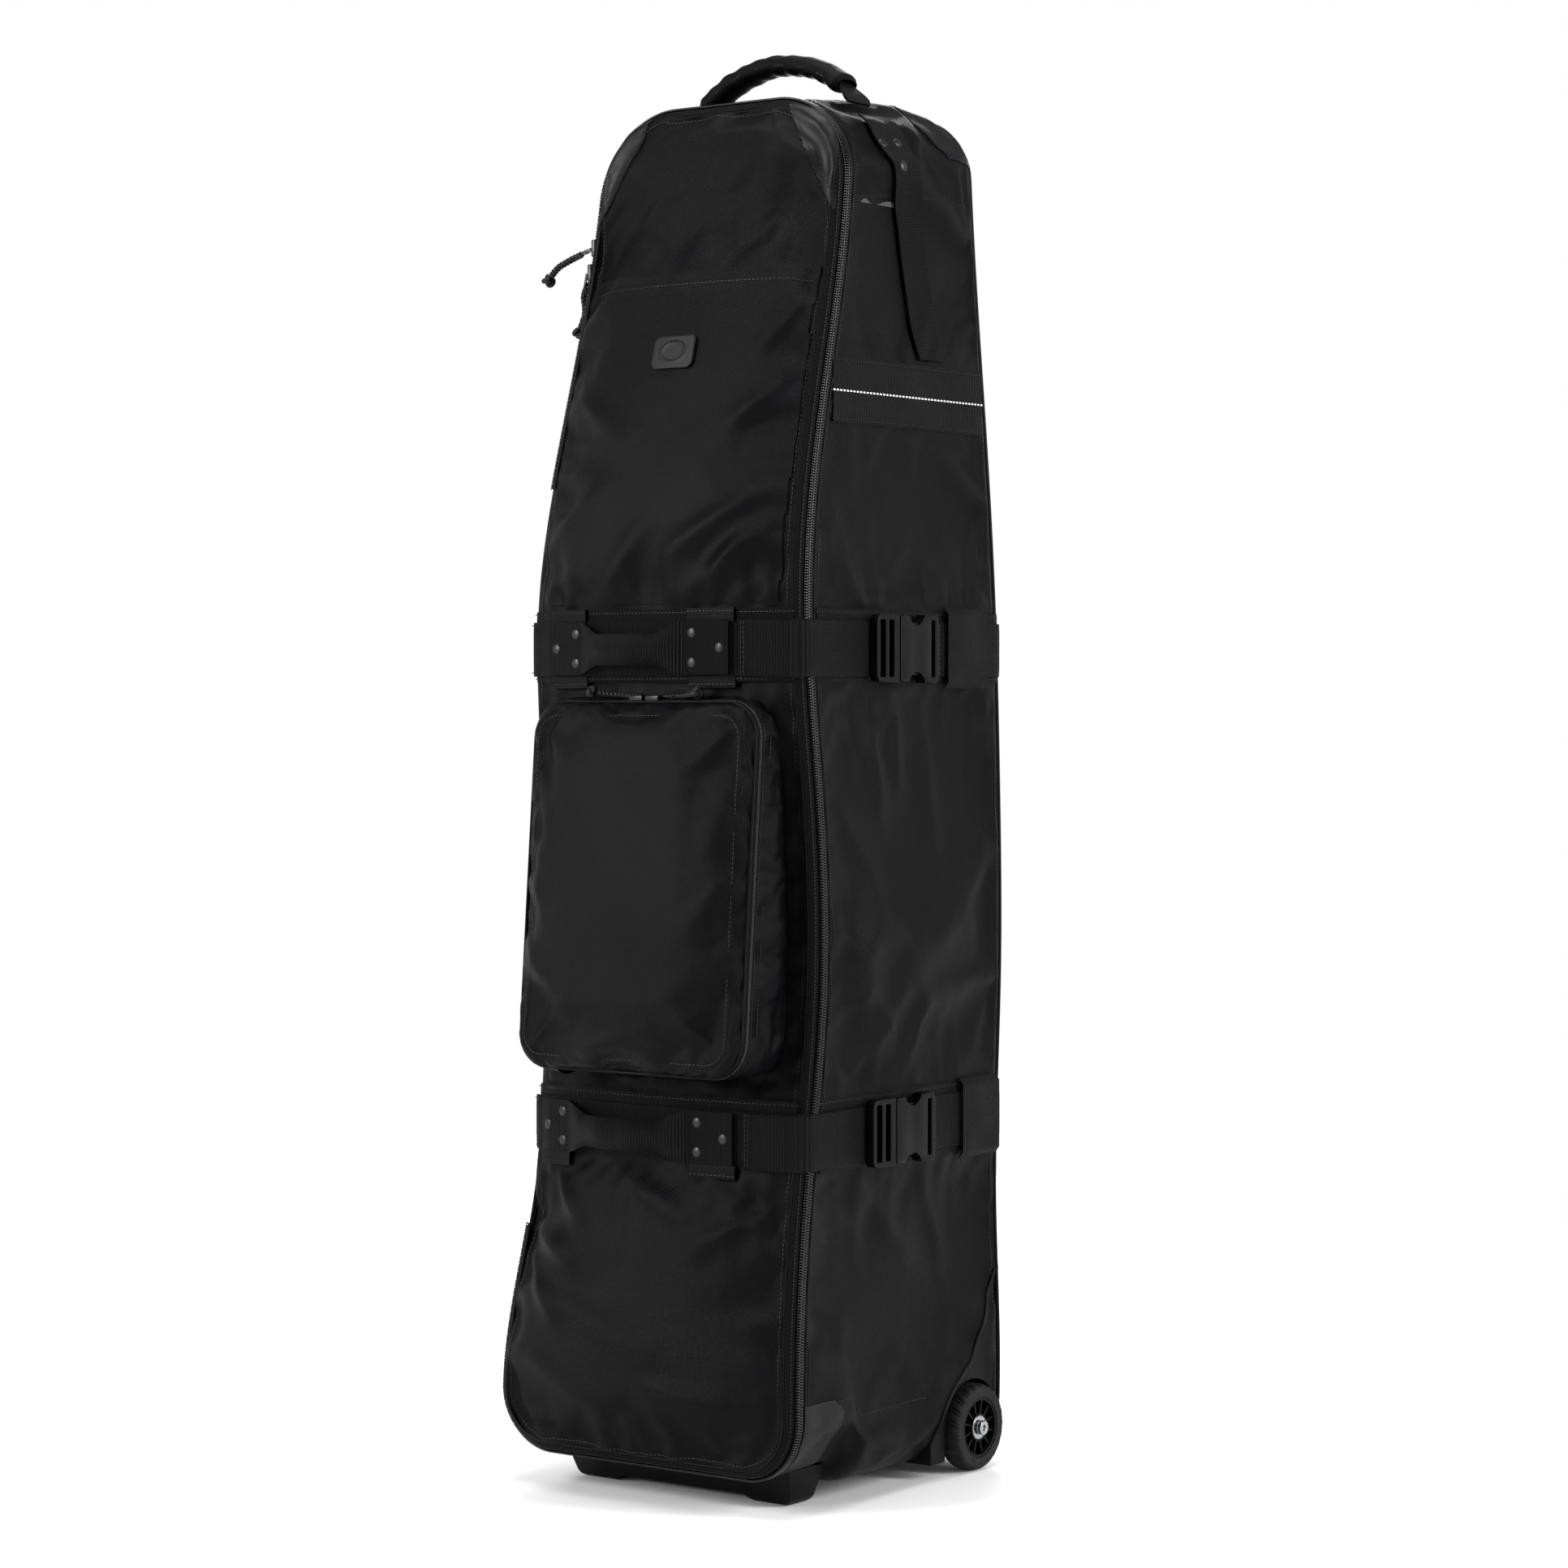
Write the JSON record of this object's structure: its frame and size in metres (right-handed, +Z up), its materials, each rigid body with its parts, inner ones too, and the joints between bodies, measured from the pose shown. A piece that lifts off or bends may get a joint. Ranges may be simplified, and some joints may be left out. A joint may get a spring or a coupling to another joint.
{
  "type": "golf travel case",
  "caption": "Tall soft-sided wheeled golf travel case with a zipped front panel, compression straps, lift handles, a front pocket and a top handle.",
  "frame": {"origin": "on the floor under the middle of the case", "axes": "+Z up, -Y out of the zipped front panel, +X towards the side with the strap buckles"},
  "size_m": [0.3704, 0.3773, 1.2966],
  "materials": {
    "fabric": "fine twill, soft sheen",
    "board": "plain stiffener",
    "foam": "closed-cell foam",
    "coated_patch": "smooth satin coating",
    "housing_plastic": "fine moulded grain",
    "zip_chain": "glossy coil on woven tape",
    "webbing": "ribbed woven webbing",
    "padded_sleeve": "twill over foam",
    "buckle_plastic": "satin moulded",
    "rivet": "dark satin",
    "zip_metal": "glossy black",
    "pull_cord": "twisted cord",
    "tyre": "grooved rubber",
    "hub_plastic": "satin moulded",
    "bearing_steel": "bright steel"
  },
  "bodies": {
    "case": {"left_gusset": "fabric", "right_gusset": "fabric", "top_gusset": "fabric", "bottom_panel": "fabric", "back_panel": "fabric", "back_board": "board", "base_board": "board", "top_foam": "foam", "case_corner_patches": "coated_patch", "left_wheel_housing": "housing_plastic", "right_wheel_housing": "housing_plastic", "foot_bar": "housing_plastic", "main_zip_case_half": "zip_chain", "case_base_webbing": "webbing", "rear_belts": "webbing", "belt_keepers": "webbing", "mid_buckle_socket": "buckle_plastic", "lower_buckle_socket": "buckle_plastic", "side_webbing": "webbing", "reflective_bands": "webbing", "case_rivets": "rivet", "axle_bolts": "bearing_steel"},
    "front_panel": {"front_panel": "fabric", "main_zip_panel_half": "zip_chain", "slash_pocket_panel": "fabric", "front_badge": "coated_patch", "front_corner_patches": "coated_patch", "panel_base_webbing": "webbing", "mid_belt_front": "webbing", "lower_belt_front": "webbing", "mid_lift_handle": "webbing", "lower_lift_handle": "webbing", "panel_rivets": "rivet", "strap_tabs": "fabric", "mid_buckle_ladder": "buckle_plastic", "lower_buckle_ladder": "buckle_plastic", "pocket_gusset": "fabric", "pocket_zip_chain": "zip_chain", "pocket_sliders": "zip_metal", "pocket_left_cord": "pull_cord", "pocket_right_cord": "pull_cord"},
    "pocket_flap": {"pocket_face": "fabric"},
    "top_handle": {"handle_sleeve": "padded_sleeve", "handle_webbing": "webbing"},
    "right_wheel": {"right_tyre": "tyre", "right_hub": "hub_plastic", "right_bearings": "bearing_steel"},
    "left_wheel": {"left_tyre": "tyre", "left_hub": "hub_plastic", "left_bearings": "bearing_steel"},
    "upper_slider": {"upper_zip_slider": "zip_metal"},
    "upper_pull": {"upper_zip_pull": "zip_metal", "upper_pull_cord": "pull_cord"},
    "lower_slider": {"lower_zip_slider": "zip_metal"},
    "lower_pull": {"lower_zip_pull": "zip_metal", "lower_pull_cord": "pull_cord"},
    "mid_upper_arm": {"mid_buckle_upper_arm": "buckle_plastic"},
    "mid_lower_arm": {"mid_buckle_lower_arm": "buckle_plastic"},
    "lower_upper_arm": {"lower_buckle_upper_arm": "buckle_plastic"},
    "lower_lower_arm": {"lower_buckle_lower_arm": "buckle_plastic"}
  },
  "joints": [
    {"name": "front_panel_open", "type": "hinge", "parent": "case", "child": "front_panel", "pos_m": [-0.163, -0.129, 0.23], "axis": [-0.0075, -0.0403, -0.9992], "range_deg": [0, 105]},
    {"name": "pocket_flap_open", "type": "hinge", "parent": "front_panel", "child": "pocket_flap", "pos_m": [-0.122, -0.182, 0.382], "axis": [0, -0.08, -0.9968], "range_deg": [0, 100]},
    {"name": "top_handle_swing", "type": "hinge", "parent": "case", "child": "top_handle", "pos_m": [0, 0.042, 1.2475], "axis": [1, 0, 0], "range_deg": [-32, 32]},
    {"name": "right_wheel_spin", "type": "hinge", "parent": "case", "child": "right_wheel", "pos_m": [0.153, 0.134, 0.04], "axis": [1, 0, 0], "continuous": true},
    {"name": "left_wheel_spin", "type": "hinge", "parent": "case", "child": "left_wheel", "pos_m": [-0.153, 0.134, 0.04], "axis": [1, 0, 0], "continuous": true},
    {"name": "upper_slider_travel", "type": "slide", "parent": "case", "child": "upper_slider", "axis": [0.024, 0.2371, 0.9712], "range_m": [0, 0.03]},
    {"name": "lower_slider_travel", "type": "slide", "parent": "case", "child": "lower_slider", "axis": [-0.024, -0.2371, -0.9712], "range_m": [0, 0.1]},
    {"name": "upper_pull_swing", "type": "hinge", "parent": "upper_slider", "child": "upper_pull", "pos_m": [-0.14572, -0.0482, 1.124], "axis": [0, 1, 0], "range_deg": [-30, 20]},
    {"name": "lower_pull_swing", "type": "hinge", "parent": "lower_slider", "child": "lower_pull", "pos_m": [-0.14627, -0.05316, 1.101], "axis": [0, 1, 0], "range_deg": [0, 60]},
    {"name": "mid_upper_arm_squeeze", "type": "hinge", "parent": "front_panel", "child": "mid_upper_arm", "pos_m": [0.16048, 0.005, 0.772], "axis": [-1, 0, 0], "range_deg": [0, 6], "stiffness_Nm_per_rad": 0.6},
    {"name": "mid_lower_arm_squeeze", "type": "hinge", "parent": "front_panel", "child": "mid_lower_arm", "pos_m": [0.16048, 0.005, 0.736], "axis": [1, 0, 0], "range_deg": [0, 6], "stiffness_Nm_per_rad": 0.6},
    {"name": "lower_upper_arm_squeeze", "type": "hinge", "parent": "front_panel", "child": "lower_upper_arm", "pos_m": [0.16091, -0.001, 0.343], "axis": [-1, 0, 0], "range_deg": [0, 6], "stiffness_Nm_per_rad": 0.6},
    {"name": "lower_lower_arm_squeeze", "type": "hinge", "parent": "front_panel", "child": "lower_lower_arm", "pos_m": [0.16091, -0.001, 0.307], "axis": [1, 0, 0], "range_deg": [0, 6], "stiffness_Nm_per_rad": 0.6}
  ],
  "couplings": [
    {"joint": "mid_lower_arm_squeeze", "follows": "mid_upper_arm_squeeze", "ratio": 1},
    {"joint": "lower_lower_arm_squeeze", "follows": "lower_upper_arm_squeeze", "ratio": 1}
  ]
}
